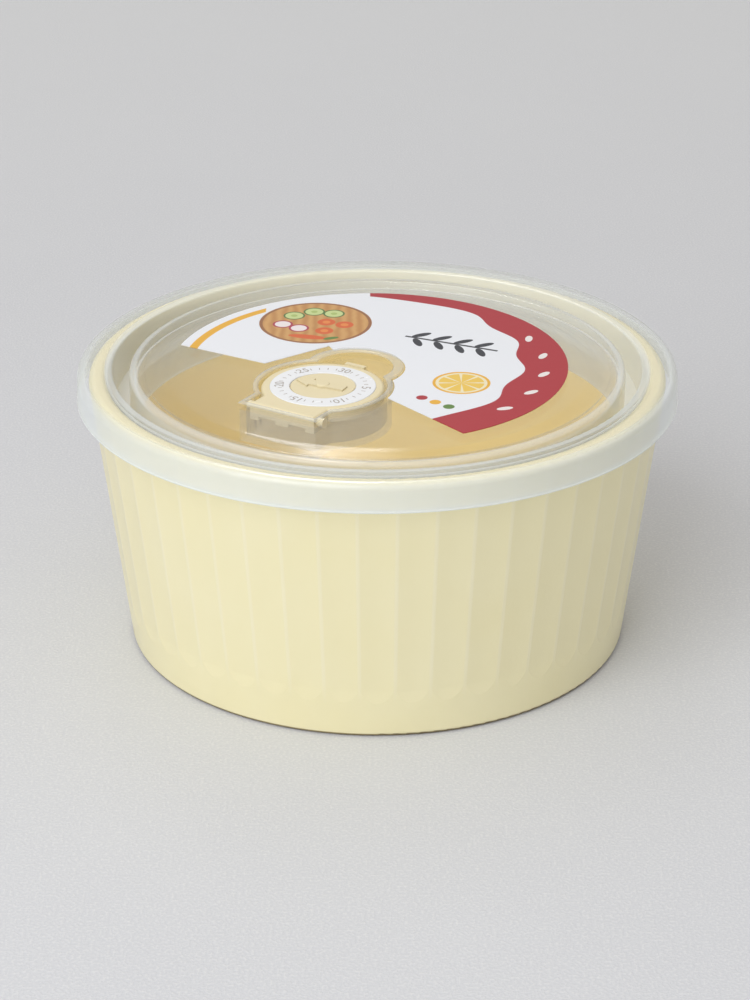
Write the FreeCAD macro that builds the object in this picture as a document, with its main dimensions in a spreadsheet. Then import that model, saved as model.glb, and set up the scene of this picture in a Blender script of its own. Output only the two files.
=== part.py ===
# Round ceramic keeper with a soft snap lid and a hinged steam vent.
#
# The bowl stands on its foot ring, with its axis on Z and the table at Z = 0. The lid rests on the
# bowl's rim. A well in the lid holds the steam cap, which swings up on two pins. A white number ring
# is set in the cap, and a date pointer turns inside the ring. Lengths are in millimetres.

import FreeCAD, Part
import math
import os

import Sketcher
from FreeCAD import Placement, Rotation, Vector

doc = FreeCAD.newDocument("vented_keeper")

# Driving dimensions. Heights are measured from the table unless the name says otherwise.
DIMENSIONS = {
    # bowl
    "foot_radius": 67.4,          # where the wall's straight line meets the table
    "rim_radius": 76.8,           # outside of the wall at the rim's height
    "rim_height": 75.0,
    "bowl_wall": 4.9,
    "bowl_floor": 5.5,            # height of the inside floor
    "floor_round": 17.0,          # large round between inside floor and wall
    "rim_land": 1.2,              # flat left between the rim's two rounds
    "foot_round": 1.4,
    "foot_ring_width": 4.5,
    "foot_recess": 1.2,
    "flute_count": 48,
    "flute_depth": 0.27,
    "flute_land": 0.7,            # narrow ridge left between two flutes
    "flute_low_end": 14.0,        # height where a flute starts to run out towards the foot
    "flute_top_gap": 3.5,         # from the rim down to the flutes' upper ends
    "flute_bend": 22.0,           # how much wider the run-out bends than the pressing bar is round
    "flute_exit": 9.0,            # how far the bar travels down along its run-out
    "bar_overlap": 0.2,           # how far the bar's face reaches past the middle of a ridge
    "bar_thickness": 2.0,         # from the wall to the bar's back
    # lid
    "lid_wall": 1.3,
    "skirt_gap": 1.9,             # from the bowl's rim to the skirt's inside
    "skirt_draft": 0.5,           # how much narrower the skirt is at its top
    "skirt_drop": 7.7,            # from the web's top to the skirt's lower edge
    "skirt_round": 1.9,
    "lid_clearance": 0.35,        # lid to the bowl's inside wall
    "seat_gap": 0.03,             # rim to the web that rests on it
    "channel_depth": 8.8,         # from the web's top to the channel's floor
    "channel_floor_width": 3.4,
    "plug_depth": 17.3,           # from the web's top to the plug wall's lower edge
    "panel_drop": 0.7,            # from the web's top to the panel's top
    "valley_drop": 1.6,           # from the panel's top to the valley round it
    "bead_width": 4.3,            # from the plug wall's outside to the valley
    "bead_slope": 0.5,
    "valley_width": 1.6,
    "shoulder_width": 4.0,        # from the valley up to the flat of the panel
    "shoulder_round": 7.0,
    "bead_round": 1.1,
    "edge_round": 0.5,
    "skirt_edge_round": 0.3,
    # well in the lid, laid out from the centre of the cap's disc
    "vent_x": -14.2,
    "vent_y": -16.2,
    "vent_turn": 58.0,            # direction from the hinge to the finger recess, in degrees
    "well_gap": 0.7,              # cap to well wall
    "well_wall": 1.25,
    "well_depth": 8.8,            # from the panel's top to the well's floor
    "lip_height": 0.8,
    "lip_width": 1.5,
    "lip_round": 0.5,
    "recess_reach": 15.2,         # from the cap's centre to the recess's centre
    "recess_radius": 10.4,
    "recess_depth": 6.2,          # from the panel's top
    "recess_lip": 2.8,
    "recess_round": 2.5,
    "steam_hole": 2.4,            # radius
    "collar_width": 1.6,
    "collar_height": 1.2,
    # cap
    "cap_radius": 16.1,
    "cap_half_width": 9.8,
    "cap_front": 19.4,            # from the disc's centre to the hinge side's edge
    "cap_stand": 0.2,             # cap's top above the panel's top
    "cap_plate": 1.4,
    "cap_skirt": 3.4,             # from the cap's top to the skirt's lower edge
    "cap_skirt_wall": 1.2,
    "cap_round": 0.8,
    "lug_depth": 4.4,             # from the cap's top to the lower end of the hinge lugs
    "lug_length": 2.6,
    "rib_length": 4.0,
    "hinge_set_back": 2.4,        # hinge axis behind the cap's front edge
    "hinge_drop": 1.9,            # hinge axis below the cap's top
    "pin_radius": 1.3,
    "pin_clearance": 0.06,
    "pin_end_gap": 0.15,
    "nib_length": 6.0,
    "nib_width": 1.4,
    "nib_height": 0.45,
    "nib_overhang": 0.5,
    # number ring
    "ring_margin": 2.2,           # from the cap's round edge to the ring
    "ring_width": 5.2,
    "ring_thickness": 0.9,
    "ring_stand": 0.2,            # ring's top above the cap's top
    "ring_chamfer": 0.15,
    "ring_clearance": 0.05,
    # date pointer
    "pointer_clearance": 0.25,
    "pointer_thickness": 1.0,
    "pointer_sink": 0.15,         # disc's top below the ring's top
    "arrow_height": 0.5,
    "arrow_half_width": 1.5,
    "arrow_tail_gap": 2.05,       # from the disc's edge
    "arrow_tip_gap": 0.65,
    "arrow_base": 3.4,
    "arrow_base_half": 2.6,
    "arrow_turn": 96.0,           # direction that the arrow shows, from the vent's own axis
    "hub_radius": 1.9,
    "hub_height": 0.75,
    "hub_round": 0.5,
    "stem_radius": 2.0,
    "stem_clearance": 0.05,
    "snap_width": 0.5,
    "snap_length": 1.2,
    "snap_gap": 0.1,
    # seal and its post
    "post_radius": 5.0,
    "post_bore": 3.4,
    "boss_depth": 1.5,            # cap material under the pointer's seat
    "seal_radius": 5.6,
    "seal_thickness": 1.6,
    "seal_stem": 2.2,
    "seal_nose": 1.0,             # how far the seal reaches into the steam hole
    "nose_clearance": 0.6,
    "seal_clearance": 0.05,
    # label, with the corners of its cut-out, measured from the centre of the cap's disc
    "label_margin": 3.3,          # from the flat of the panel's edge to the label's
    "label_shift": 2.0,
    "label_thickness": 0.15,
    "label_gap": 0.4,             # label's cut edge to the lip
    "label_left_x": -39.0,
    "label_left_y": 29.4,
    "label_corner_x": -15.7,
    "label_corner_y": 16.0,
    "label_lip_x": 1.2,
    "label_lip_y": 28.5,
    "label_right_x": 15.8,
    "label_right_y": -6.7,
    "label_low_x": 38.8,
    "label_low_y": -34.6,
}

sheet = doc.addObject("Spreadsheet::Sheet", "Dims")
for row, (alias, size) in enumerate(DIMENSIONS.items(), start=1):
    sheet.set(f"A{row}", alias)
    sheet.set(f"B{row}", str(size))
    sheet.setAlias(f"B{row}", alias)
doc.recompute()


def number(expression):
    """the present value of an expression"""
    found = sheet.evalExpression(expression)
    return float(getattr(found, "Value", found))


# Heights and radii that several pieces share, as expressions of the driving dimensions.
def wall_outside(height):
    """the bowl's outside radius at a height"""
    slope = "(Dims.rim_radius - Dims.foot_radius) / Dims.rim_height"
    return f"(Dims.foot_radius + {slope} * ({height}))"


def wall_inside(height):
    """the bowl's inside radius at a height"""
    return f"({wall_outside(height)} - Dims.bowl_wall)"


def channel_side(height):
    """the lid's face along the bowl's inside wall, at a height"""
    return f"({wall_inside(height)} - Dims.lid_clearance)"


RIM = "Dims.rim_height"
WEB_UNDER = f"({RIM} + Dims.seat_gap)"
WEB_TOP = f"({WEB_UNDER} + Dims.lid_wall)"
CHANNEL_FLOOR = f"({WEB_TOP} - Dims.channel_depth)"
CHANNEL_UNDER = f"({CHANNEL_FLOOR} - Dims.lid_wall)"
SKIRT = "(Dims.rim_radius + Dims.skirt_gap + Dims.lid_wall)"
PLUG = f"({channel_side(CHANNEL_FLOOR)} - Dims.lid_wall - Dims.channel_floor_width)"
VALLEY_OUTER = f"({PLUG} - Dims.bead_width)"
VALLEY_INNER = f"({VALLEY_OUTER} - Dims.valley_width)"
PANEL_FLAT = f"({VALLEY_INNER} - Dims.shoulder_width)"
LABEL_RADIUS = f"({PANEL_FLAT} - Dims.label_margin)"
PANEL_TOP = f"({WEB_TOP} - Dims.panel_drop)"
VALLEY_TOP = f"({PANEL_TOP} - Dims.valley_drop)"
LIP_TOP = f"({PANEL_TOP} + Dims.lip_height)"
WELL_FLOOR = f"({PANEL_TOP} - Dims.well_depth)"
RECESS_FLOOR = f"({PANEL_TOP} - Dims.recess_depth)"
COLLAR_TOP = f"({WELL_FLOOR} + Dims.collar_height)"
WELL_RADIUS = "(Dims.cap_radius + Dims.well_gap)"
WELL_HALF = "(Dims.cap_half_width + Dims.well_gap)"
WELL_FRONT = "(Dims.cap_front + Dims.well_gap)"
CAP_TOP = f"({PANEL_TOP} + Dims.cap_stand)"
PLATE_UNDER = f"({CAP_TOP} - Dims.cap_plate)"
HINGE_BACK = "(Dims.cap_front - Dims.hinge_set_back)"
HINGE_HEIGHT = f"({CAP_TOP} - Dims.hinge_drop)"
RING_OUTER = "(Dims.cap_radius - Dims.ring_margin)"
RING_INNER = f"({RING_OUTER} - Dims.ring_width)"
DISC = f"({RING_INNER} - Dims.pointer_clearance)"
RING_TOP = f"({CAP_TOP} + Dims.ring_stand)"
RING_SEAT = f"({RING_TOP} - Dims.ring_thickness)"
POINTER_TOP = f"({RING_TOP} - Dims.pointer_sink)"
POINTER_SEAT = f"({POINTER_TOP} - Dims.pointer_thickness)"
BOSS_UNDER = f"({POINTER_SEAT} - Dims.boss_depth)"
SEAL_TOP = f"({COLLAR_TOP} + Dims.seal_thickness)"


def new_body(label):
    body = doc.addObject("PartDesign::Body", label)
    body.Label = label
    return body


def new_sketch(body, name, role="XY_Plane", height=None):
    """a sketch on one of the body's own planes, raised to a height"""
    sketch = body.newObject("Sketcher::SketchObject", name)
    plane = next(item for item in body.Origin.OriginFeatures if item.Role == role)
    sketch.AttachmentSupport = [(plane, "")]
    sketch.MapMode = "FlatFace"
    if height is not None:
        sketch.setExpression("AttachmentOffset.Base.z", height)
    return sketch


def turn_to_vent(sketch):
    """lays a level sketch of the lid out in the vent's own axes"""
    sketch.AttachmentOffset = Placement(Vector(), Rotation(Vector(0, 0, 1), number("Dims.vent_turn")))
    sketch.setExpression("AttachmentOffset.Rotation.Angle", "Dims.vent_turn")
    sketch.setExpression("AttachmentOffset.Base.x", "Dims.vent_x")
    sketch.setExpression("AttachmentOffset.Base.y", "Dims.vent_y")


class Rules:
    """the constraints of one sketch, collected first and handed over together"""

    def __init__(self, sketch):
        self.sketch = sketch
        self.first = len(sketch.Constraints)
        self.constraints = []
        self.sizes = {}

    def add(self, kind, *where):
        self.constraints.append(Sketcher.Constraint(kind, *where))

    def bind(self, kind, *where, size):
        """a dimension that is tied to an expression"""
        self.sizes[self.first + len(self.constraints)] = size
        self.constraints.append(Sketcher.Constraint(kind, *where, number(size)))

    def place(self, item, end, across, up):
        """ties a point to its two coordinates"""
        if across == "0":
            self.add("PointOnObject", item, end, -2)
        else:
            self.bind("DistanceX", -1, 1, item, end, size=across)
        if up == "0":
            self.add("PointOnObject", item, end, -1)
        else:
            self.bind("DistanceY", -1, 1, item, end, size=up)

    def apply(self):
        self.sketch.addConstraint(self.constraints)
        for index, size in self.sizes.items():
            self.sketch.setExpression(f"Constraints[{index}]", size)


def outline(sketch, points):
    """a closed outline through points given as expressions: across, up and, if rounded, a radius"""
    corners = [Vector(number(point[0]), number(point[1]), 0) for point in points]
    count = len(points)
    leaving, reaching = list(corners), list(corners)
    middles = {}
    for i, point in enumerate(points):
        if len(point) == 3:
            back = (corners[i - 1] - corners[i]).normalize()
            ahead = (corners[(i + 1) % count] - corners[i]).normalize()
            half_angle = back.getAngle(ahead) / 2
            radius = number(point[2])
            reaching[i] = corners[i] + back * (radius / math.tan(half_angle))
            leaving[i] = corners[i] + ahead * (radius / math.tan(half_angle))
            towards_centre = (back + ahead).normalize()
            middles[i] = corners[i] + towards_centre * (radius / math.sin(half_angle) - radius)
    lines = [
        sketch.addGeometry(Part.LineSegment(leaving[i], reaching[(i + 1) % count]), False)
        for i in range(count)
    ]
    rules = Rules(sketch)
    for i, point in enumerate(points):
        before, after = lines[i - 1], lines[i]
        if i not in middles:
            rules.add("Coincident", before, 2, after, 1)
            rules.place(after, 1, point[0], point[1])
            continue
        arc = sketch.addGeometry(Part.Arc(reaching[i], middles[i], leaving[i]), False)
        first = sketch.getPoint(arc, 1).distanceToPoint(reaching[i]) < 1e-6
        start, end = (1, 2) if first else (2, 1)
        corner = sketch.addGeometry(Part.Point(corners[i]), True)
        rules.add("Tangent", before, 2, arc, start)
        rules.add("Tangent", after, 1, arc, end)
        rules.add("PointOnObject", corner, 1, before)
        rules.add("PointOnObject", corner, 1, after)
        rules.bind("Radius", arc, size=point[2])
        rules.place(corner, 1, point[0], point[1])
    rules.apply()


def rectangle(sketch, left, right, low, high):
    outline(sketch, [(left, low), (right, low), (right, high), (left, high)])


def circle(sketch, radius, across="0", up="0"):
    centre = Vector(number(across), number(up), 0)
    index = sketch.addGeometry(Part.Circle(centre, Vector(0, 0, 1), number(radius)), False)
    rules = Rules(sketch)
    rules.bind("Radius", index, size=radius)
    if across == up == "0":
        rules.add("Coincident", index, 3, -1, 1)
    else:
        rules.place(index, 3, across, up)
    rules.apply()


def keyhole(sketch, radius, half_width, front):
    """a disc that runs out into a square block on its hinge side, towards -X"""
    reach, half = number(front), number(half_width)
    meet = -math.sqrt(number(radius) ** 2 - half ** 2)
    angle = math.atan2(half, meet)
    disc = Part.ArcOfCircle(Part.Circle(Vector(), Vector(0, 0, 1), number(radius)), -angle, angle)
    arc = sketch.addGeometry(disc, False)
    left, front_side, right = [
        sketch.addGeometry(Part.LineSegment(Vector(*a, 0), Vector(*b, 0)), False)
        for a, b in (
            ((meet, half), (-reach, half)),
            ((-reach, half), (-reach, -half)),
            ((-reach, -half), (meet, -half)),
        )
    ]
    rules = Rules(sketch)
    rules.add("Coincident", arc, 3, -1, 1)
    rules.add("Coincident", arc, 2, left, 1)
    rules.add("Coincident", left, 2, front_side, 1)
    rules.add("Coincident", front_side, 2, right, 1)
    rules.add("Coincident", right, 2, arc, 1)
    rules.add("Horizontal", left)
    rules.add("Vertical", front_side)
    rules.add("Horizontal", right)
    rules.bind("Radius", arc, size=radius)
    rules.bind("DistanceY", -1, 1, left, 1, size=half_width)
    rules.bind("DistanceY", right, 1, -1, 1, size=half_width)
    rules.bind("DistanceX", left, 2, -1, 1, size=front)
    rules.apply()


def revolve(body, name, sketch):
    feature = body.newObject("PartDesign::Revolution", name)
    feature.Profile = sketch
    feature.ReferenceAxis = (sketch, ["V_Axis"])
    feature.Angle = 360
    body.Tip = feature
    return feature


def pad(body, name, sketch, length, down=False):
    feature = body.newObject("PartDesign::Pad", name)
    feature.Profile = sketch
    feature.Reversed = down
    feature.setExpression("Length", length)
    body.Tip = feature
    return feature


def pocket(body, name, sketch, depth):
    """cuts downwards from the sketch"""
    feature = body.newObject("PartDesign::Pocket", name)
    feature.Profile = sketch
    feature.setExpression("Length", depth)
    body.Tip = feature
    return feature


def round_edges(body, name, radius, chosen):
    """a fillet on the edges of the body that a test picks"""
    doc.recompute()
    base = body.Tip
    names = [f"Edge{i}" for i, edge in enumerate(base.Shape.Edges, start=1) if chosen(edge)]
    if not names:
        raise RuntimeError(f"{name}: no edge to round")
    feature = body.newObject("PartDesign::Fillet", name)
    feature.Base = (base, names)
    feature.setExpression("Radius", radius)
    body.Tip = feature
    return feature


def level_edges(height):
    """a test for the edges that lie flat at one height"""
    level = number(height)

    def chosen(edge):
        box = edge.BoundBox
        return abs(box.ZMin - level) < 1e-4 and abs(box.ZMax - level) < 1e-4

    return chosen


# Bowl: cast ceramic, glazed, with shallow flutes in its outside wall.
def make_bowl():
    body = new_body("bowl")
    section = new_sketch(body, "bowl_section", "XZ_Plane")
    recess = "(Dims.foot_radius - Dims.foot_round - Dims.foot_ring_width)"
    rim_round = "((Dims.bowl_wall - Dims.rim_land) / 2)"
    outline(section, [
        ("0", "Dims.foot_recess"),
        (f"({recess} - Dims.foot_recess)", "Dims.foot_recess"),
        (recess, "0"),
        ("Dims.foot_radius", "0", "Dims.foot_round"),
        ("Dims.rim_radius", RIM, rim_round),
        (wall_inside(RIM), RIM, rim_round),
        (wall_inside("Dims.bowl_floor"), "Dims.bowl_floor", "Dims.floor_round"),
        ("0", "Dims.bowl_floor"),
    ])
    revolve(body, "bowl_turned", section)
    cut_flutes(body)
    return body


def bar_section(sketch, centre, radius, half_width, back):
    """the bar's round face towards the wall, between two flat sides and a flat back"""
    middle, half = number(centre), number(half_width)
    face_end = middle - math.sqrt(number(radius) ** 2 - half ** 2)
    low, high = Vector(face_end, -half, 0), Vector(face_end, half, 0)
    face = sketch.addGeometry(Part.Arc(low, Vector(middle - number(radius), 0, 0), high), False)
    at_low, at_high = (1, 2) if sketch.getPoint(face, 1).distanceToPoint(low) < 1e-6 else (2, 1)
    back_low, back_high = Vector(number(back), -half, 0), Vector(number(back), half, 0)
    low_side, back_side, high_side = [
        sketch.addGeometry(Part.LineSegment(*ends), False)
        for ends in ((low, back_low), (back_low, back_high), (back_high, high))
    ]
    rules = Rules(sketch)
    rules.add("Coincident", face, at_low, low_side, 1)
    rules.add("Coincident", low_side, 2, back_side, 1)
    rules.add("Coincident", back_side, 2, high_side, 1)
    rules.add("Coincident", high_side, 2, face, at_high)
    rules.add("Horizontal", low_side)
    rules.add("Vertical", back_side)
    rules.add("Horizontal", high_side)
    rules.place(face, 3, centre, "0")
    rules.bind("Radius", face, size=radius)
    rules.bind("DistanceY", low_side, 1, -1, 1, size=half_width)
    rules.bind("DistanceY", -1, 1, high_side, 1, size=half_width)
    rules.bind("DistanceX", -1, 1, back_side, 1, size=back)
    rules.apply()


def cut_flutes(body):
    """each flute is pressed by a round bar that follows the wall and bends away near the foot"""
    def half_chord(height):
        return f"(pi * {wall_outside(height)} / Dims.flute_count - Dims.flute_land / 2)"

    top, low = f"({RIM} - Dims.flute_top_gap)", "Dims.flute_low_end"
    middle = f"(({low} + {top}) / 2)"
    bar_radius = f"(1 / (2 * Dims.flute_depth / {half_chord(middle)} ^ 2 - 1 / {wall_outside(middle)}))"
    bend_radius = f"({bar_radius} + Dims.flute_bend)"

    def bar_centre(height):
        """pressed in so far that the ridges keep the same width all the way up"""
        depth = f"({half_chord(height)} ^ 2 / 2 * (1 / {bar_radius} + 1 / {wall_outside(height)}))"
        return f"({wall_outside(height)} + {bar_radius} - {depth})"

    profile = new_sketch(body, "flute_profile", height=top)
    half_width = f"(pi * {wall_outside(top)} / Dims.flute_count + Dims.bar_overlap)"
    back = f"({wall_outside(top)} + Dims.bar_thickness)"
    bar_section(profile, bar_centre(top), bar_radius, half_width, back)
    route = new_sketch(body, "flute_route", "XZ_Plane")
    start = Vector(number(bar_centre(top)), number(top), 0)
    bend = Vector(number(bar_centre(low)), number(low), 0)
    run = (bend - start).normalize()
    outward = Vector(-run.y, run.x, 0)
    radius = number(bend_radius)
    swing = math.asin(number("Dims.flute_exit") / radius)
    centre = bend + outward * radius

    def on_bend(angle):
        return centre - outward * radius * math.cos(angle) + run * radius * math.sin(angle)

    line = route.addGeometry(Part.LineSegment(start, bend), False)
    arc = route.addGeometry(Part.Arc(bend, on_bend(swing / 2), on_bend(swing)), False)
    joined, leaving = (1, 2) if route.getPoint(arc, 1).distanceToPoint(bend) < 1e-6 else (2, 1)
    rules = Rules(route)
    rules.place(line, 1, bar_centre(top), top)
    rules.place(line, 2, bar_centre(low), low)
    rules.add("Tangent", line, 2, arc, joined)
    rules.bind("Radius", arc, size=bend_radius)
    rules.bind("DistanceY", arc, leaving, line, 2, size="Dims.flute_exit")
    rules.apply()
    flute = body.newObject("PartDesign::SubtractivePipe", "flute")
    flute.Profile = profile
    flute.Spine = route
    body.Tip = flute
    doc.recompute()
    flutes = body.newObject("PartDesign::PolarPattern", "flutes")
    flutes.Originals = [flute]
    axis = next(item for item in body.Origin.OriginFeatures if item.Role == "Z_Axis")
    flutes.Axis = (axis, [""])
    flutes.Angle = 360
    flutes.setExpression("Occurrences", "Dims.flute_count")
    body.Tip = flutes


# Lid: one soft translucent moulding, from the skirt to the keyhole well.
def make_lid():
    body = new_body("lid")
    section = new_sketch(body, "lid_section", "XZ_Plane")
    skirt_low = f"({WEB_TOP} - Dims.skirt_drop)"
    skirt_top = f"({SKIRT} - Dims.skirt_draft)"
    plug_low = f"({WEB_TOP} - Dims.plug_depth)"
    plug_inside = f"({PLUG} - Dims.lid_wall)"
    outline(section, [
        ("0", PANEL_TOP),
        (PANEL_FLAT, PANEL_TOP, "Dims.shoulder_round"),
        (VALLEY_INNER, VALLEY_TOP, "Dims.bead_round"),
        (VALLEY_OUTER, VALLEY_TOP, "Dims.edge_round"),
        (f"({VALLEY_OUTER} + Dims.bead_slope)", PANEL_TOP, "Dims.bead_round"),
        (PLUG, PANEL_TOP, "Dims.bead_round"),
        (PLUG, CHANNEL_FLOOR),
        (f"({channel_side(CHANNEL_FLOOR)} - Dims.lid_wall)", CHANNEL_FLOOR),
        (f"({channel_side(WEB_UNDER)} - Dims.lid_wall)", WEB_TOP, "Dims.edge_round"),
        (skirt_top, WEB_TOP, "Dims.skirt_round"),
        (SKIRT, skirt_low, "Dims.skirt_edge_round"),
        (f"({SKIRT} - Dims.lid_wall)", skirt_low),
        (f"({skirt_top} - Dims.lid_wall)", WEB_UNDER),
        (channel_side(WEB_UNDER), WEB_UNDER),
        (channel_side(CHANNEL_UNDER), CHANNEL_UNDER),
        (PLUG, CHANNEL_UNDER),
        (PLUG, plug_low),
        (plug_inside, plug_low),
        (plug_inside, f"({VALLEY_TOP} - Dims.lid_wall)"),
        (f"({VALLEY_INNER} - Dims.lid_wall / 4)", f"({VALLEY_TOP} - Dims.lid_wall)"),
        (f"({PANEL_FLAT} - Dims.lid_wall / 4)", f"({PANEL_TOP} - Dims.lid_wall)"),
        ("0", f"({PANEL_TOP} - Dims.lid_wall)"),
    ])
    revolve(body, "lid_turned", section)
    add_well(body)
    return body


def add_well(body):
    """the sunk well with its raised lip, finger recess, steam hole and the hinge pins' holes"""
    def grown(name):
        return [f"({side} + {name})" for side in (WELL_RADIUS, WELL_HALF, WELL_FRONT)]

    def level(name, height):
        sketch = new_sketch(body, name, height=height)
        turn_to_vent(sketch)
        return sketch

    lip_into_panel = "(Dims.lip_height + Dims.lid_wall / 2)"
    lip = level("lip_outline", LIP_TOP)
    keyhole(lip, *grown("Dims.lip_width"))
    pad(body, "lip", lip, lip_into_panel, down=True)
    recess_lip = level("recess_lip_outline", LIP_TOP)
    circle(recess_lip, "(Dims.recess_radius + Dims.recess_lip)", across="Dims.recess_reach")
    pad(body, "recess_lip", recess_lip, lip_into_panel, down=True)
    walls = level("well_walls_outline", PANEL_TOP)
    keyhole(walls, *grown("Dims.well_wall"))
    pad(body, "well_walls", walls, "(Dims.well_depth + Dims.lid_wall)", down=True)
    recess_walls = level("recess_walls_outline", PANEL_TOP)
    circle(recess_walls, "(Dims.recess_radius + Dims.well_wall)", across="Dims.recess_reach")
    pad(body, "recess_walls", recess_walls, "(Dims.recess_depth + Dims.lid_wall)", down=True)
    recess = level("recess_outline", LIP_TOP)
    circle(recess, "Dims.recess_radius", across="Dims.recess_reach")
    pocket(body, "recess", recess, "(Dims.recess_depth + Dims.lip_height)")
    well = level("well_outline", LIP_TOP)
    keyhole(well, WELL_RADIUS, WELL_HALF, WELL_FRONT)
    pocket(body, "well", well, "(Dims.well_depth + Dims.lip_height)")
    collar = level("collar_outline", COLLAR_TOP)
    circle(collar, "(Dims.steam_hole + Dims.collar_width)")
    pad(body, "collar", collar, "(Dims.collar_height + Dims.lid_wall / 2)", down=True)
    hole = level("steam_hole_outline", COLLAR_TOP)
    circle(hole, "Dims.steam_hole")
    pocket(body, "steam_hole", hole, "(Dims.collar_height + Dims.lid_wall + 1)")
    pin_holes = new_sketch(body, "pin_hole_outline", "XZ_Plane")
    pin_holes.AttachmentOffset = Placement(Vector(), Rotation(Vector(0, 1, 0), number("Dims.vent_turn")))
    pin_holes.setExpression("AttachmentOffset.Rotation.Angle", "Dims.vent_turn")
    pin_holes.setExpression("AttachmentOffset.Base.x", "Dims.vent_x")
    pin_holes.setExpression("AttachmentOffset.Base.z", "-Dims.vent_y")
    circle(pin_holes, "(Dims.pin_radius + Dims.pin_clearance)", across=f"(-{HINGE_BACK})", up=HINGE_HEIGHT)
    across_well = pocket(body, "pin_holes", pin_holes, f"(2 * ({WELL_HALF} + Dims.well_wall + 1))")
    across_well.Midplane = True
    round_edges(body, "lip_rounds", "Dims.lip_round", level_edges(LIP_TOP))
    round_edges(body, "recess_floor_round", "Dims.recess_round", level_edges(RECESS_FLOOR))


# Vent cap: cream moulding with its hinge lugs, pins and the seal's post.
def make_vent_cap():
    body = new_body("vent_cap")
    cap_outline = ("Dims.cap_radius", "Dims.cap_half_width", "Dims.cap_front")
    skirt_inside = [f"({side} - Dims.cap_skirt_wall)" for side in cap_outline]
    plate = new_sketch(body, "plate_outline", height=CAP_TOP)
    keyhole(plate, *cap_outline)
    pad(body, "plate", plate, "Dims.cap_plate", down=True)
    round_edges(body, "plate_round", "Dims.cap_round", level_edges(CAP_TOP))
    skirt = new_sketch(body, "skirt_outline", height=PLATE_UNDER)
    keyhole(skirt, *cap_outline)
    keyhole(skirt, *skirt_inside)
    pad(body, "skirt", skirt, "(Dims.cap_skirt - Dims.cap_plate)", down=True)
    lugs = new_sketch(body, "lug_outlines", height=PLATE_UNDER)
    lug_back = "(-Dims.cap_front + 2 * Dims.hinge_set_back)"
    lug_inside = "(Dims.cap_half_width - Dims.lug_length)"
    rectangle(lugs, "(-Dims.cap_front)", lug_back, lug_inside, "Dims.cap_half_width")
    rectangle(lugs, "(-Dims.cap_front)", lug_back, "(-Dims.rib_length / 2)", "(Dims.rib_length / 2)")
    rectangle(lugs, "(-Dims.cap_front)", lug_back, "(-Dims.cap_half_width)", f"(-{lug_inside})")
    pad(body, "lugs", lugs, "(Dims.lug_depth - Dims.cap_plate)", down=True)
    pin = new_sketch(body, "pin_outline", "XZ_Plane", height=lug_inside)
    circle(pin, "Dims.pin_radius", across=f"(-{HINGE_BACK})", up=HINGE_HEIGHT)
    pin_length = "(Dims.lug_length + Dims.well_gap + Dims.well_wall - Dims.pin_end_gap)"
    one_pin = pad(body, "pin", pin, pin_length)
    doc.recompute()
    pins = body.newObject("PartDesign::Mirrored", "pins")
    pins.Originals = [one_pin]
    middle = next(item for item in body.Origin.OriginFeatures if item.Role == "XZ_Plane")
    pins.MirrorPlane = (middle, [""])
    body.Tip = pins
    nib = new_sketch(body, "nib_outline", height=f"({CAP_TOP} + Dims.nib_height)")
    nib_end = "(Dims.cap_radius + Dims.nib_overhang)"
    nib_half = "(Dims.nib_length / 2)"
    rectangle(nib, f"({nib_end} - Dims.nib_width)", nib_end, f"(-{nib_half})", nib_half)
    pad(body, "nib", nib, "(Dims.nib_height + Dims.cap_plate)", down=True)
    post = new_sketch(body, "post_outline", height=PLATE_UNDER)
    circle(post, "Dims.post_radius")
    pad(body, "post", post, f"({PLATE_UNDER} - {SEAL_TOP})", down=True)
    bore = new_sketch(body, "bore_outline", height=BOSS_UNDER)
    circle(bore, "Dims.post_bore")
    pocket(body, "bore", bore, f"({BOSS_UNDER} - {SEAL_TOP})")
    ring_seat = new_sketch(body, "ring_seat_outline", height=RING_TOP)
    circle(ring_seat, f"({RING_OUTER} + Dims.ring_clearance)")
    pocket(body, "ring_seat", ring_seat, "Dims.ring_thickness")
    pointer_seat = new_sketch(body, "pointer_seat_outline", height=RING_TOP)
    circle(pointer_seat, RING_INNER)
    pocket(body, "pointer_seat", pointer_seat, "(Dims.pointer_sink + Dims.pointer_thickness)")
    stem_hole = new_sketch(body, "stem_hole_outline", height=POINTER_SEAT)
    circle(stem_hole, "(Dims.stem_radius + Dims.stem_clearance)")
    pocket(body, "stem_hole", stem_hole, "Dims.boss_depth")
    return body


# Number ring: white plastic, pressed into the cap's seat.
def make_number_ring():
    body = new_body("number_ring")
    section = new_sketch(body, "ring_section", "XZ_Plane")
    below_top = f"({RING_TOP} - Dims.ring_chamfer)"
    outline(section, [
        (RING_INNER, RING_SEAT),
        (RING_OUTER, RING_SEAT),
        (RING_OUTER, below_top),
        (f"({RING_OUTER} - Dims.ring_chamfer)", RING_TOP),
        (f"({RING_INNER} + Dims.ring_chamfer)", RING_TOP),
        (RING_INNER, below_top),
    ])
    revolve(body, "ring_turned", section)
    return body


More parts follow.
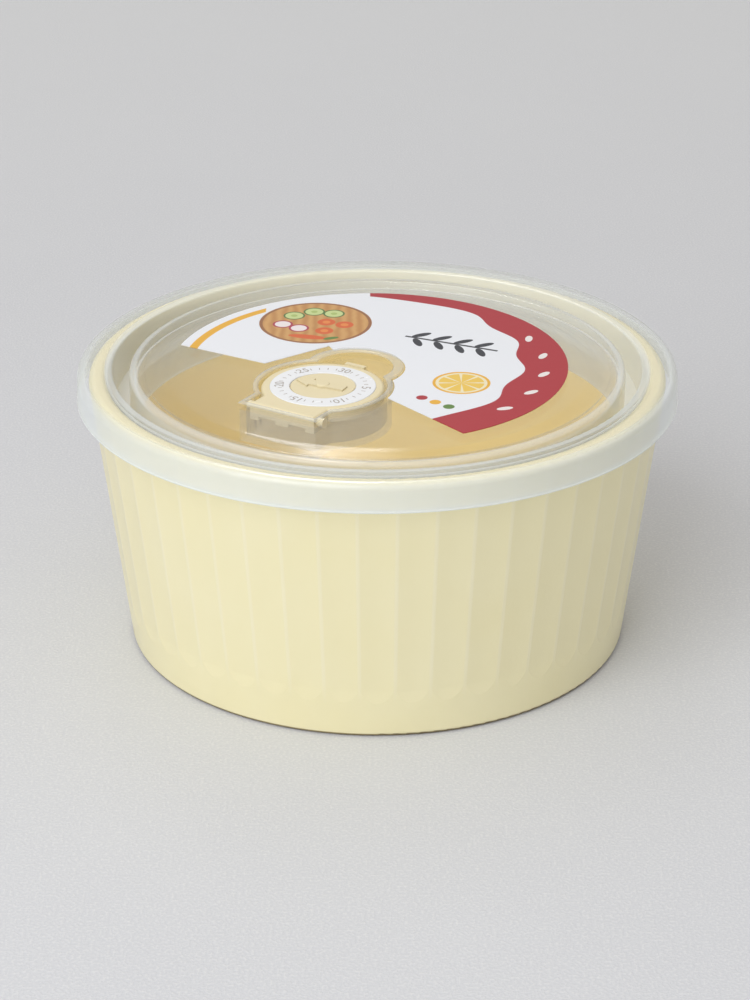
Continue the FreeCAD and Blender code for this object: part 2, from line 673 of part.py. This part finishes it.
# Date pointer: cream disc with a raised arrow, held by its snap stem.
def make_date_pointer():
    body = new_body("date_pointer")
    section = new_sketch(body, "pointer_section", "XZ_Plane")
    snap = "(Dims.stem_radius + Dims.snap_width)"
    snap_top = f"({BOSS_UNDER} - Dims.snap_gap)"
    snap_low = f"({snap_top} - Dims.snap_length)"
    outline(section, [
        ("0", snap_low),
        ("Dims.stem_radius", snap_low),
        (snap, f"({snap_top} - Dims.snap_length / 4)"),
        (snap, snap_top),
        ("Dims.stem_radius", snap_top),
        ("Dims.stem_radius", POINTER_SEAT),
        (DISC, POINTER_SEAT),
        (DISC, POINTER_TOP),
        ("0", POINTER_TOP),
    ])
    revolve(body, "pointer_turned", section)
    hub = new_sketch(body, "hub_outline", height=POINTER_TOP)
    circle(hub, "Dims.hub_radius")
    pad(body, "hub", hub, "Dims.hub_height")
    round_edges(body, "hub_round_edge", "Dims.hub_round", level_edges(f"({POINTER_TOP} + Dims.hub_height)"))
    arrow = new_sketch(body, "arrow_outline", height=POINTER_TOP)
    arrow.AttachmentOffset = Placement(Vector(), Rotation(Vector(0, 0, 1), number("Dims.arrow_turn")))
    arrow.setExpression("AttachmentOffset.Rotation.Angle", "Dims.arrow_turn")
    arrow.setExpression("AttachmentOffset.Base.z", POINTER_TOP)
    tail = f"(Dims.arrow_tail_gap - {DISC})"
    outline(arrow, [
        (f"({DISC} - Dims.arrow_tip_gap)", "0"),
        ("Dims.arrow_base", "Dims.arrow_base_half"),
        ("Dims.arrow_base", "Dims.arrow_half_width"),
        (tail, "Dims.arrow_half_width"),
        (tail, "(-Dims.arrow_half_width)"),
        ("Dims.arrow_base", "(-Dims.arrow_half_width)"),
        ("Dims.arrow_base", "(-Dims.arrow_base_half)"),
    ])
    pad(body, "arrow", arrow, "Dims.arrow_height")
    return body


# Vent seal: soft plug on the cap's post, closed on the collar of the steam hole.
def make_vent_seal():
    body = new_body("vent_seal")
    section = new_sketch(body, "seal_section", "XZ_Plane")
    nose = "(Dims.steam_hole - Dims.nose_clearance)"
    stem = "(Dims.post_bore - Dims.seal_clearance)"
    outline(section, [
        ("0", f"({COLLAR_TOP} - Dims.seal_nose)"),
        (nose, f"({COLLAR_TOP} - Dims.seal_nose)"),
        (nose, COLLAR_TOP),
        ("Dims.seal_radius", COLLAR_TOP),
        ("Dims.seal_radius", SEAL_TOP),
        (stem, SEAL_TOP),
        (stem, f"({SEAL_TOP} + Dims.seal_stem)"),
        ("0", f"({SEAL_TOP} + Dims.seal_stem)"),
    ])
    revolve(body, "seal_turned", section)
    return body


# Label: thin printed film on the panel, cut out round the well.
def make_label():
    body = new_body("label")
    film_top = f"({PANEL_TOP} + Dims.label_thickness)"
    film = new_sketch(body, "film_outline", height=PANEL_TOP)
    circle(film, LABEL_RADIUS, across="(-Dims.label_shift)")
    pad(body, "film", film, "Dims.label_thickness")
    through = "(2 * Dims.label_thickness)"
    notch = new_sketch(body, "notch_outline", height=film_top)
    beyond = f"(-2 * {LABEL_RADIUS})"
    corners = [
        (f"(Dims.vent_x + Dims.label_{name}_x)", f"(Dims.vent_y + Dims.label_{name}_y)")
        for name in ("left", "corner", "lip", "right", "low")
    ]
    outline(notch, corners + [(corners[-1][0], beyond), (beyond, beyond), (beyond, corners[0][1])])
    pocket(body, "notch", notch, through)
    beside_lip = new_sketch(body, "lip_cut_outline", height=film_top)
    turn_to_vent(beside_lip)
    gap = "(Dims.lip_width + Dims.label_gap)"
    keyhole(beside_lip, *[f"({side} + {gap})" for side in (WELL_RADIUS, WELL_HALF, WELL_FRONT)])
    pocket(body, "lip_cut", beside_lip, through)
    beside_recess = new_sketch(body, "recess_cut_outline", height=film_top)
    turn_to_vent(beside_recess)
    cut_radius = "(Dims.recess_radius + Dims.recess_lip + Dims.label_gap)"
    circle(beside_recess, cut_radius, across="Dims.recess_reach")
    pocket(body, "recess_cut", beside_recess, through)
    return body


def place_in_vent(body):
    """the cap and what it carries are drawn about the cap's disc and set in the lid's well"""
    body.Placement = Placement(Vector(), Rotation(Vector(0, 0, 1), number("Dims.vent_turn")))
    body.setExpression("Placement.Rotation.Angle", "Dims.vent_turn")
    body.setExpression("Placement.Base.x", "Dims.vent_x")
    body.setExpression("Placement.Base.y", "Dims.vent_y")


bowl, lid, label = make_bowl(), make_lid(), make_label()
vent_parts = [make_vent_cap(), make_number_ring(), make_date_pointer(), make_vent_seal()]
for vent_part in vent_parts:
    place_in_vent(vent_part)
doc.recompute()

for item in doc.Objects:
    if "Invalid" in item.State or "Error" in item.State:
        raise RuntimeError(f"{item.Name} failed: {item.State}")
sub_parts = [bowl, lid, label] + vent_parts
for body in sub_parts:
    if body.Shape.isNull() or not body.Shape.isValid():
        raise RuntimeError(f"{body.Label} has no valid solid")

os.makedirs("parts", exist_ok=True)
for body in sub_parts:
    body.Shape.exportStep(f"parts/{body.Label}.step")
    print(f"{body.Label:14s} {len(body.Shape.Solids)} solid, {body.Shape.Volume / 1000:8.2f} cm3")
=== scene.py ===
import math

import bmesh
import bpy
from mathutils import Matrix, Vector


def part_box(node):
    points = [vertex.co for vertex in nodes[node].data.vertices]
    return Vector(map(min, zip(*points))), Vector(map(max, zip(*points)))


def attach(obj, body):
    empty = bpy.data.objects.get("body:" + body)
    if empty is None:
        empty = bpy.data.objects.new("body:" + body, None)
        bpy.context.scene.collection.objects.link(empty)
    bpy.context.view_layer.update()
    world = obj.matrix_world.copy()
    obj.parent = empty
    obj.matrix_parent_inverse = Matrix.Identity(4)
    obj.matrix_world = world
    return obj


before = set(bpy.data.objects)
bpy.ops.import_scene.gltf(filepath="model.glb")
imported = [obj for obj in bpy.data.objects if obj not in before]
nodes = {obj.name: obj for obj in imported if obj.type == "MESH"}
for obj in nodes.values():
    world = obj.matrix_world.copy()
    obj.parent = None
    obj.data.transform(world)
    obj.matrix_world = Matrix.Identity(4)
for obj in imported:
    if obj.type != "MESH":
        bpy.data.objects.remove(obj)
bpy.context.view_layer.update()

# Bowl: cast ceramic, pressed with shallow flutes, dipped in a pale butter-yellow glaze and fired.
# The glaze is a paler tone on the ridges, has a few iron specks and stops above the foot ring,
# which is left bare, ground flat and painted dark olive-brown as shadow where it meets the table.
MM = 0.001


class Value:
    """A number that changes over a surface. Sums and products of such numbers add their own nodes."""

    def __init__(self, finish, socket):
        self.finish = finish
        self.socket = socket

    def worked(self, operation, *numbers):
        settings = {"operation": operation}
        return self.finish.node("ShaderNodeMath", settings, dict(enumerate(numbers)))

    def __add__(self, other):
        return self.worked("ADD", self, other)

    def __radd__(self, other):
        return self.worked("ADD", other, self)

    def __sub__(self, other):
        return self.worked("SUBTRACT", self, other)

    def __rsub__(self, other):
        return self.worked("SUBTRACT", other, self)

    def __mul__(self, other):
        return self.worked("MULTIPLY", self, other)

    def __rmul__(self, other):
        return self.worked("MULTIPLY", other, self)

    def __truediv__(self, other):
        return self.worked("DIVIDE", self, other)

    def __pow__(self, other):
        return self.worked("POWER", self, other)

    def __abs__(self):
        return self.worked("ABSOLUTE", self)

    def least(self, other):
        return self.worked("MINIMUM", self, other)

    def most(self, other):
        return self.worked("MAXIMUM", self, other)

    def sine(self):
        return self.worked("SINE", self)

    def cosine(self):
        return self.worked("COSINE", self)

    def angle_from(self, along):
        """the angle in radians of a point this far across and that far along"""
        return self.worked("ARCTAN2", self, along)

    def rises(self, low, high):
        """0 below low, 1 above high and smooth between them"""
        settings = {"interpolation_type": "SMOOTHSTEP"}
        sockets = {"Value": self, "From Min": low, "From Max": high}
        return self.finish.node("ShaderNodeMapRange", settings, sockets)


class Finish:
    """The material of one piece: a Principled surface and the nodes that vary it."""

    def __init__(self, name, **surface):
        self.material = bpy.data.materials.new(name)
        self.material.use_nodes = True
        self.tree = self.material.node_tree
        self.surface = self.tree.nodes["Principled BSDF"]
        for socket, amount in surface.items():
            self.feed(self.surface, socket.replace("_", " "), amount)
        self.place = self.node("ShaderNodeTexCoord", {}, {}, output="Object")
        split = self.node("ShaderNodeSeparateXYZ", {}, {0: self.place})
        self.x, self.y, self.z = [Value(self, socket) for socket in split.socket.node.outputs]

    def node(self, kind, settings, sockets, output=0):
        """adds a node of a type, with its settings first, then the values or links of its sockets"""
        made = self.tree.nodes.new(kind)
        for name, setting in settings.items():
            setattr(made, name, setting)
        for name, amount in sockets.items():
            self.feed(made, name, amount)
        return Value(self, made.outputs[output])

    def feed(self, node, name, amount):
        """sets a socket, found by its name or number, or links a value to it"""
        if isinstance(name, int):
            socket = node.inputs[name]
        else:
            socket = next(s for s in node.inputs if name in (s.identifier, s.name))
        if isinstance(amount, Value):
            self.tree.links.new(amount.socket, socket)
        else:
            socket.default_value = amount

    def varies(self, name, amount):
        """lets a value drive one socket of the surface"""
        self.feed(self.surface, name, amount)

    def noise(self, scale, detail=2.0, roughness=0.5, stretch=(1, 1, 1)):
        """an even noise about 0.5, its scale in lumps for each metre"""
        sockets = {0: self.place, 1: stretch}
        across = self.node("ShaderNodeVectorMath", {"operation": "MULTIPLY"}, sockets)
        sockets = {"Vector": across, "Scale": scale, "Detail": detail, "Roughness": roughness}
        return self.node("ShaderNodeTexNoise", {}, sockets, output=0)

    def mix(self, share, first, second):
        sockets = {"Factor": share, "A_Color": first, "B_Color": second}
        return self.node("ShaderNodeMix", {"data_type": "RGBA"}, sockets, output=2)

    def bumped(self, height, distance):
        """raises the surface by a height between 0 and 1 times a distance in metres"""
        normal = self.node("ShaderNodeBump", {}, {"Height": height, "Distance": distance})
        self.varies("Normal", normal)

    def lets_light_on(self, share):
        """1 for what the eye sees, less by a share for light that only passes to what lies behind"""
        shadow = self.node("ShaderNodeLightPath", {}, {}, output="Is Shadow Ray")
        scattered = self.node("ShaderNodeLightPath", {}, {}, output="Is Diffuse Ray")
        return 1 - shadow.most(scattered) * share

    def edge_on(self):
        """0 where the surface faces the eye and 1 where it is seen edge on"""
        return self.node("ShaderNodeLayerWeight", {}, {"Blend": 0.5}, output="Facing")


def colour(red, green, blue):
    """a colour as it is seen on screen, each part from 0 to 255"""
    parts = [part / 255 for part in (red, green, blue)]
    return tuple(p / 12.92 if p <= 0.04045 else ((p + 0.055) / 1.055) ** 2.4 for p in parts) + (1.0,)


def dress(node, finish):
    """gives a CAD node its finish"""
    piece = nodes[node]
    piece.data.materials.clear()
    piece.data.materials.append(finish.material)


bare_shaded_foot_height = 1.1 * MM
foot_radius, wall_slope, wall_thickness = 67.4 * MM, 9.4 / 75, 4.9 * MM
floor_height = 4 * MM
warm_below, pale_above = 50 * MM, 68 * MM
flute_count = 48
flute_low, flute_fade = 8 * MM, 12 * MM

glaze = Finish("butter_glaze", IOR=1.5, Specular_IOR_Level=0.38, Coat_Roughness=0.12)
cloudy = glaze.noise(38, detail=3)
grain = glaze.noise(900, detail=2)
turn = glaze.y.angle_from(glaze.x)
on_ridge = (turn * flute_count + math.pi).cosine().rises(0.9, 1.0)
from_axis = (glaze.x * glaze.x + glaze.y * glaze.y) ** 0.5
from_foot = from_axis - glaze.z * wall_slope
outside = from_foot.rises(foot_radius - wall_thickness / 2, foot_radius - wall_thickness / 4)
inside = (1 - outside) * glaze.z.rises(floor_height - MM, floor_height)
# Deeper inside, the glaze is painted a richer mustard, standing in for the light that bounces round
# inside the bowl.
painted_bounce_inside = inside * (1 - glaze.z.rises(warm_below, pale_above) * 0.8)
fluted = glaze.z.rises(flute_low, flute_low + flute_fade) * outside
tone = glaze.mix(cloudy, colour(244, 235, 188), colour(247, 240, 201))
tone = glaze.mix(on_ridge * fluted * 0.3, tone, colour(249, 244, 220))
tone = glaze.mix(painted_bounce_inside, tone, colour(250, 231, 168))
specks = glaze.node("ShaderNodeTexVoronoi", {"feature": "F1"}, {"Vector": glaze.place, "Scale": 62.0})
speck = (1 - specks.rises(0.018, 0.03)) * glaze.noise(30).rises(0.62, 0.66)
tone = glaze.mix(speck * 0.55, tone, colour(176, 130, 84))
# The bottom of the foot is bare and rougher, and its dark olive-brown is a painted contact shadow
# along the table.
bare_shaded_foot = 1 - glaze.z.rises(bare_shaded_foot_height * 0.6, bare_shaded_foot_height)
tone = glaze.mix(bare_shaded_foot, tone, colour(150, 134, 96))
glaze.varies("Base Color", tone)
glaze.varies("Roughness", bare_shaded_foot * 0.45 + 0.27 + cloudy * 0.08)
glaze.varies("Coat Weight", (1 - bare_shaded_foot) * 0.1)
glaze.bumped(grain * 0.35 + cloudy * 0.65, 0.06 * MM)
dress("bowl", glaze)

# Lid: one moulding of soft milky plastic that lets the bowl's rim and inside show through. It is
# clear on the flat panel, milkier on the skirt and the plug wall, and glossy, with faint flow marks
# from the mould. The milkiness scatters light onward, so little is lost to the bowl below, and a
# clear gloss is mixed over the see-through body, so that its highlights stay full.
milk = Finish("milky_plastic", IOR=1.45)
drift = milk.noise(60, detail=3)
fine = milk.noise(2400, detail=1)
reach = (milk.x * milk.x + milk.y * milk.y) ** 0.5
panel_reach, channel_reach, skirt_reach, vent_reach = 63.4 * MM, 71.8 * MM, 76.5 * MM, 50 * MM
skirt_height = 7.8 * MM
skirt_low, panel_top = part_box("lid")[1].z - skirt_height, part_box("label")[0].z
panel_haze, skirt_haze, web_haze, channel_haze = 0.01, 0.33, 0.05, 0.42
well_haze, lip_haze, edge_haze, grazing_haze = 0.13, 0.28, 0.3, 0.12
past_channel = reach.rises(channel_reach, channel_reach + MM)
in_channel = reach.rises(panel_reach, panel_reach + MM) * (1 - past_channel)
on_skirt = reach.rises(skirt_reach, skirt_reach + 1.5 * MM)
on_web = past_channel * (1 - on_skirt)
round_vent = 1 - reach.rises(vent_reach, vent_reach + 2 * MM)
in_well = (1 - milk.z.rises(panel_top - 1.7 * MM, panel_top - 1.3 * MM)) * round_vent
on_lip = milk.z.rises(panel_top + 0.1 * MM, panel_top + 0.4 * MM) * round_vent
skirt_edge = on_skirt * (1 - milk.z.rises(skirt_low + 0.3 * MM, skirt_low + 0.9 * MM))
edge_on = milk.edge_on()
cloud = panel_haze + on_skirt * skirt_haze + on_web * web_haze + in_channel * channel_haze
cloud = cloud + in_well * well_haze + on_lip * lip_haze + skirt_edge * edge_haze
cloud = (cloud + edge_on ** 3 * grazing_haze + drift * 0.01).least(0.96)
milk.varies("Alpha", cloud * milk.lets_light_on(0.9 - on_skirt * 0.35))
milk_tone = milk.mix(drift, colour(233, 240, 240), colour(239, 245, 246))
# The walls of the vent's well are painted a warmer cream, as painted light for the warm glow that
# reaches them through the cap and from the bowl.
milk.varies("Base Color", milk.mix(in_well, milk_tone, colour(250, 238, 208)))
milk.varies("Roughness", 0.3 + drift * 0.1)
milk.bumped(fine * 0.3 + drift * 0.7, 0.03 * MM)
gloss_look = {"Metallic": 1.0, "Base Color": colour(255, 255, 255), "Roughness": 0.15}
gloss = milk.node("ShaderNodeBsdfPrincipled", {}, gloss_look)
gloss_share = (0.02 + edge_on ** 5 * 0.5) * milk.lets_light_on(1.0)
body = Value(milk, milk.surface.outputs[0])
glossed = milk.node("ShaderNodeMixShader", {}, {0: gloss_share, 1: body, 2: gloss})
milk.feed(milk.tree.nodes["Material Output"], "Surface", glossed)
dress("lid", milk)

# Vent cap and date pointer: two small mouldings of cream plastic with a satin face. Such thin
# plastic glows, so most of the light that falls on them goes on into the well below, as it does
# through the number ring and the seal.
cream = Finish("cream_plastic", Roughness=0.38, IOR=1.47)
cream_grain = cream.noise(1500, detail=2)
cream_drift = cream.noise(120, detail=2)
cream.varies("Base Color", cream.mix(cream_drift, colour(233, 219, 176), colour(237, 224, 185)))
cream.varies("Roughness", 0.42 + cream_grain * 0.12)
cream.varies("Alpha", cream.lets_light_on(0.85))
cream.bumped(cream_grain, 0.02 * MM)
dress("vent_cap", cream)
dress("date_pointer", cream)

# Number ring: glossy white plastic pressed into the cap, with grey-brown numbers for the days of a
# month and a short mark for each day between them, printed on its face.
white = Finish("white_plastic", Roughness=0.25, IOR=1.47)
white_drift = white.noise(200, detail=2)
white.varies("Base Color", white.mix(white_drift, colour(248, 251, 255), colour(251, 253, 255)))
white.varies("Roughness", 0.2 + white_drift * 0.1)
white.varies("Alpha", white.lets_light_on(0.85))
white.bumped(white_drift, 0.01 * MM)
dress("number_ring", white)

ring_low, ring_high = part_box("number_ring")
dial_centre = (ring_low + ring_high) / 2
dial_face = ring_high.z
print_height = 0.03 * MM
number_size, number_radius = 3.5 * MM, 11.3 * MM
mark_length, mark_width = 1.1 * MM, 0.22 * MM
days = 31
day_step = 2 * math.pi / days
first_five = math.radians(-9)

ink = Finish("dial_ink", Roughness=0.5)
ink_wear = ink.noise(2600, detail=2)
ink.varies("Base Color", ink.mix(ink_wear, colour(160, 153, 147), colour(184, 177, 170)))

dial = bmesh.new()
for day in range(1, days + 1):
    angle = first_five - (day - 5) * day_step
    outward = Matrix.Rotation(angle - math.pi / 2, 4, "Z")
    at = Matrix.Translation((dial_centre.x, dial_centre.y, dial_face)) @ outward
    if day % 5 == 0:
        text = bpy.data.curves.new("number", "FONT")
        text.body = str(day)
        text.size = number_size
        text.align_x = "CENTER"
        text.align_y = "CENTER"
        text.extrude = print_height / 2
        text.resolution_u = 4
        shown = bpy.data.objects.new("number", text)
        bpy.context.scene.collection.objects.link(shown)
        mesh = bpy.data.meshes.new_from_object(shown)
        mesh.transform(at @ Matrix.Translation((0, number_radius, print_height / 2)))
        dial.from_mesh(mesh)
        bpy.data.objects.remove(shown)
        bpy.data.meshes.remove(mesh)
    else:
        size = Matrix.Diagonal((mark_width, mark_length, print_height, 1))
        place = at @ Matrix.Translation((0, number_radius, print_height / 2)) @ size
        bmesh.ops.create_cube(dial, size=1, matrix=place)
numbers_mesh = bpy.data.meshes.new("dial_numbers")
dial.to_mesh(numbers_mesh)
dial.free()
numbers_mesh.materials.append(ink.material)
dial_numbers = bpy.data.objects.new("dial_numbers", numbers_mesh)
bpy.context.scene.collection.objects.link(dial_numbers)
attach(dial_numbers, "vent_cap")

# Vent seal: a soft milky silicone plug, pressed into the post under the cap.
soft = Finish("silicone", Roughness=0.55, IOR=1.41)
soft_drift = soft.noise(300, detail=2)
soft.varies("Base Color", soft.mix(soft_drift, colour(222, 220, 210), colour(232, 230, 222)))
soft.varies("Alpha", soft.lets_light_on(0.85))
soft.bumped(soft_drift, 0.02 * MM)
dress("vent_seal", soft)

# Label: thin white film printed with fields of colour and simple shapes, stuck on the lid's panel.
# It has a round wooden board with cut vegetables, a dark sprig, a crimson crescent with white
# seeds, a slice of lemon, a yellow stripe along its edge and three dots, drawn in millimetres.
film = Finish("printed_film", IOR=1.5)
film_x, film_y = film.x / MM, film.y / MM
print_edge = 0.12


def inside_of(away, size):
    """a mask that is 1 where a distance is below a size"""
    return 1 - away.rises(size - print_edge, size + print_edge)


def spot(x, y, long, wide=None, turned=0):
    """a mask of a disc, or of an oval turned by an angle in degrees"""
    c, s = math.cos(math.radians(turned)), math.sin(math.radians(turned))
    along = (film_x - x) * c + (film_y - y) * s
    across = (film_y - y) * c - (film_x - x) * s
    stretch = long / (wide or long)
    return inside_of((along ** 2 + (across * stretch) ** 2) ** 0.5, long)


def bar(x, y, length, width, turned=0):
    """a mask of a straight band with square ends"""
    c, s = math.cos(math.radians(turned)), math.sin(math.radians(turned))
    along = abs((film_x - x) * c + (film_y - y) * s)
    across = abs((film_y - y) * c - (film_x - x) * s)
    return inside_of(along, length / 2) * inside_of(across, width / 2)


def printed(under, mask, *ink):
    return film.mix(mask, under, colour(*ink))


picture = film.mix(film.noise(25), colour(242, 246, 253), colour(247, 250, 255))
crimson, slate, yellow, leaf_green = (178, 10, 36), (28, 34, 48), (242, 182, 36), (92, 134, 48)

film_centre = -2.0
crescent_x, crescent_y, crescent_size = -10, 3, 48.5
wave = (film_y * 0.3).sine() * 1.2
hollow = ((film_x - crescent_x) ** 2 + (film_y - crescent_y) ** 2) ** 0.5 + wave
crescent = (1 - inside_of(hollow, crescent_size)) * inside_of(film_x * -1, 2)
picture = printed(picture, crescent, *crimson)
seed_reach, seed_long, seed_wide = 46.6, 2.2, 1.0
for turned in (22, 6, -10, -26, -42):
    x = film_centre + seed_reach * math.cos(math.radians(turned))
    y = seed_reach * math.sin(math.radians(turned))
    picture = printed(picture, spot(x, y, seed_long, seed_wide, turned + 60), 246, 240, 238)

sprig_x, sprig_y, sprig_length, sprig_turn = 20, 14, 27, -24
leaf_long, leaf_wide, leaf_splay, leaf_pairs = 3.0, 1.1, 52, 4
sprig = bar(sprig_x, sprig_y, sprig_length, 0.9, sprig_turn)
for pair in range(leaf_pairs):
    for side in (-1, 1):
        x = sprig_x - 8.5 + pair * 5.6 + side * 0.6
        y = sprig_y + 3.6 - pair * 2.5 + side * 2.7
        leaf = spot(x, y, leaf_long, leaf_wide, sprig_turn + side * leaf_splay)
        sprig = sprig.most(leaf)
picture = printed(picture, sprig, *slate)

board_x, board_y, board_size = -17, 29.5, 15.5
board = spot(board_x, board_y, board_size)
grain_lines = (film_x * 2.1 + film.noise(160, detail=2) * 5).sine() * 0.5 + 0.5
wood = film.mix(grain_lines, colour(198, 140, 74), colour(216, 166, 98))
picture = film.mix(board, picture, wood)
rim_of_board = board * (1 - spot(board_x, board_y, board_size - 0.9))
picture = printed(picture, rim_of_board, 156, 100, 54)
cucumber = ((3.0, (74, 116, 46)), (2.5, (206, 222, 150)), (0.9, (176, 198, 112)))
onion = ((2.8, (176, 32, 72)), (2.2, (248, 238, 238)))
carrot = ((2.5, (222, 98, 28)), (1.1, (238, 142, 62)))
slices = [(-6, 5.5, cucumber), (-0.5, 8.5, cucumber), (5, 7, cucumber), (-9, -1, onion)]
slices += [(-4.5, -4, onion), (3, 0.5, carrot), (8, -1.5, carrot), (2.5, -6, carrot)]
for x, y, rings in slices:
    for radius, ink_colour in rings:
        picture = printed(picture, spot(board_x + x, board_y + y, radius), *ink_colour)
whole_carrot = spot(board_x - 2, board_y - 10.5, 5.4, 1.5, -14)
carrot_top = spot(board_x + 4.4, board_y - 11.6, 2.2, 0.9, 20)
picture = printed(picture, whole_carrot, 222, 98, 28)
picture = printed(picture, carrot_top, *leaf_green)

lemon_x, lemon_y, lemon_size, lemon_pairs = 22, -14, 7.6, 4
lemon_turn = (film_y - lemon_y).angle_from(film_x - lemon_x)
lemon_flesh = abs((lemon_turn * lemon_pairs).sine()).rises(0.2, 0.35)
picture = printed(picture, spot(lemon_x, lemon_y, lemon_size), *yellow)
picture = printed(picture, spot(lemon_x, lemon_y, lemon_size - 0.8), 250, 240, 204)
picture = printed(picture, lemon_flesh * spot(lemon_x, lemon_y, lemon_size - 1.6), 246, 206, 84)

from_centre = ((film_x - film_centre) ** 2 + film_y ** 2) ** 0.5
stripe_reach, stripe_width = 48.8, 2.4
stripe = inside_of(abs(from_centre - stripe_reach), stripe_width / 2) * inside_of(film_x, -31)
picture = printed(picture, stripe, *yellow)
for x, y, ink_colour in ((11.5, -24, crimson), (14.9, -27, yellow), (18.3, -30, leaf_green)):
    picture = printed(picture, spot(x, y, 1.5), *ink_colour)
film.varies("Base Color", picture)
film.varies("Alpha", film.lets_light_on(0.75))
film.varies("Roughness", 0.26 + film.noise(400) * 0.1)
film.bumped(film.noise(140, detail=2), 0.03 * MM)
dress("label", film)

# Table: a plain pale sheet with a fine grain, painted paler further off where the lamps' light falls
# off.
table = Finish("pale_table", Roughness=0.75)
mottle = table.noise(6, detail=5, roughness=0.6)
pores = table.noise(1300, detail=2)
stone = table.mix(mottle, colour(208, 210, 215), colour(216, 218, 222))
painted_light_from, painted_light_to = 0.1, 0.8
# The far part is painted paler, standing in for the light that the lamps give less of there.
painted_light_far_off = table.y.rises(painted_light_from, painted_light_to)
stone = table.mix(painted_light_far_off * 0.8, stone, colour(231, 234, 237))
stone = table.mix(pores.rises(0.42, 0.75) * 0.35, stone, colour(240, 240, 240))
table.varies("Base Color", stone)
table.bumped(pores, 0.15 * MM)

table_size = 8.0
table_mesh = bpy.data.meshes.new("table")
half = table_size / 2
corners = [(-half, -half, 0), (half, -half, 0), (half, half, 0), (-half, half, 0)]
table_mesh.from_pydata(corners, [], [(0, 1, 2, 3)])
table_mesh.materials.append(table.material)
table_top = bpy.data.objects.new("table", table_mesh)
bpy.context.scene.collection.objects.link(table_top)

# Light: a broad soft box high on the left, a narrow one behind that draws the streaks on the lid,
# and a pale surround that is brighter above than at the sides. What shows past the table's far
# edge is a plain grey like the table's own.
scene = bpy.context.scene
side_light, top_light = 0.4, 0.72
world = bpy.data.worlds.new("surround")
world.use_nodes = True
world_nodes, world_links = world.node_tree.nodes, world.node_tree.links
surround = world_nodes["Background"]
surround.inputs["Color"].default_value = (1.0, 0.968, 0.93, 1.0)
direction = world_nodes.new("ShaderNodeTexCoord")
upward = world_nodes.new("ShaderNodeSeparateXYZ")
brighter_above = world_nodes.new("ShaderNodeMapRange")
brighter_above.inputs["To Min"].default_value = side_light
brighter_above.inputs["To Max"].default_value = top_light
backdrop = world_nodes.new("ShaderNodeBackground")
backdrop.inputs["Color"].default_value = colour(185, 186, 186)
seen = world_nodes.new("ShaderNodeLightPath")
shown = world_nodes.new("ShaderNodeMixShader")
world_links.new(direction.outputs["Generated"], upward.inputs[0])
world_links.new(upward.outputs["Z"], brighter_above.inputs["Value"])
world_links.new(brighter_above.outputs[0], surround.inputs["Strength"])
world_links.new(seen.outputs["Is Camera Ray"], shown.inputs[0])
world_links.new(surround.outputs[0], shown.inputs[1])
world_links.new(backdrop.outputs[0], shown.inputs[2])
world_links.new(shown.outputs[0], world_nodes["World Output"].inputs[0])
scene.world = world


def soft_box(name, where, towards, size, watts, tint):
    """a rectangular lamp of a width and height in metres, turned towards a point"""
    lamp = bpy.data.lights.new(name, "AREA")
    lamp.shape = "RECTANGLE"
    lamp.size, lamp.size_y = size
    lamp.energy = watts
    lamp.color = tint
    box = bpy.data.objects.new(name, lamp)
    box.location = where
    box.rotation_euler = (Vector(towards) - Vector(where)).to_track_quat("-Z", "Y").to_euler()
    scene.collection.objects.link(box)
    return box


bowl_middle, lid_top = (0, 0, 0.04), (0, 0, 0.075)
soft_box("key", (-0.62, -0.95, 1.0), bowl_middle, (1.1, 1.1), watts=12.6, tint=(0.985, 1, 1.035))
streak = soft_box("streak", (-0.13, 0.7, 1.14), lid_top, (0.34, 0.56), watts=7.5, tint=(1, 1, 1))
streak.visible_diffuse = False

# Camera: as far off, as high and as long in the lens as the photograph's, its long side upright.
camera_distance = 686.4 * MM
camera_height = 352.3 * MM
camera_left = 0.61 * MM
camera_pitch = math.radians(24.77)
camera = bpy.data.objects.new("camera", bpy.data.cameras.new("camera"))
camera.data.lens = 100
camera.data.sensor_width = 36
camera.location = (-camera_left, -camera_distance, camera_height)
camera.rotation_euler = (math.pi / 2 - camera_pitch, 0, 0)
scene.collection.objects.link(camera)
scene.camera = camera
scene.view_settings.view_transform = "Standard"
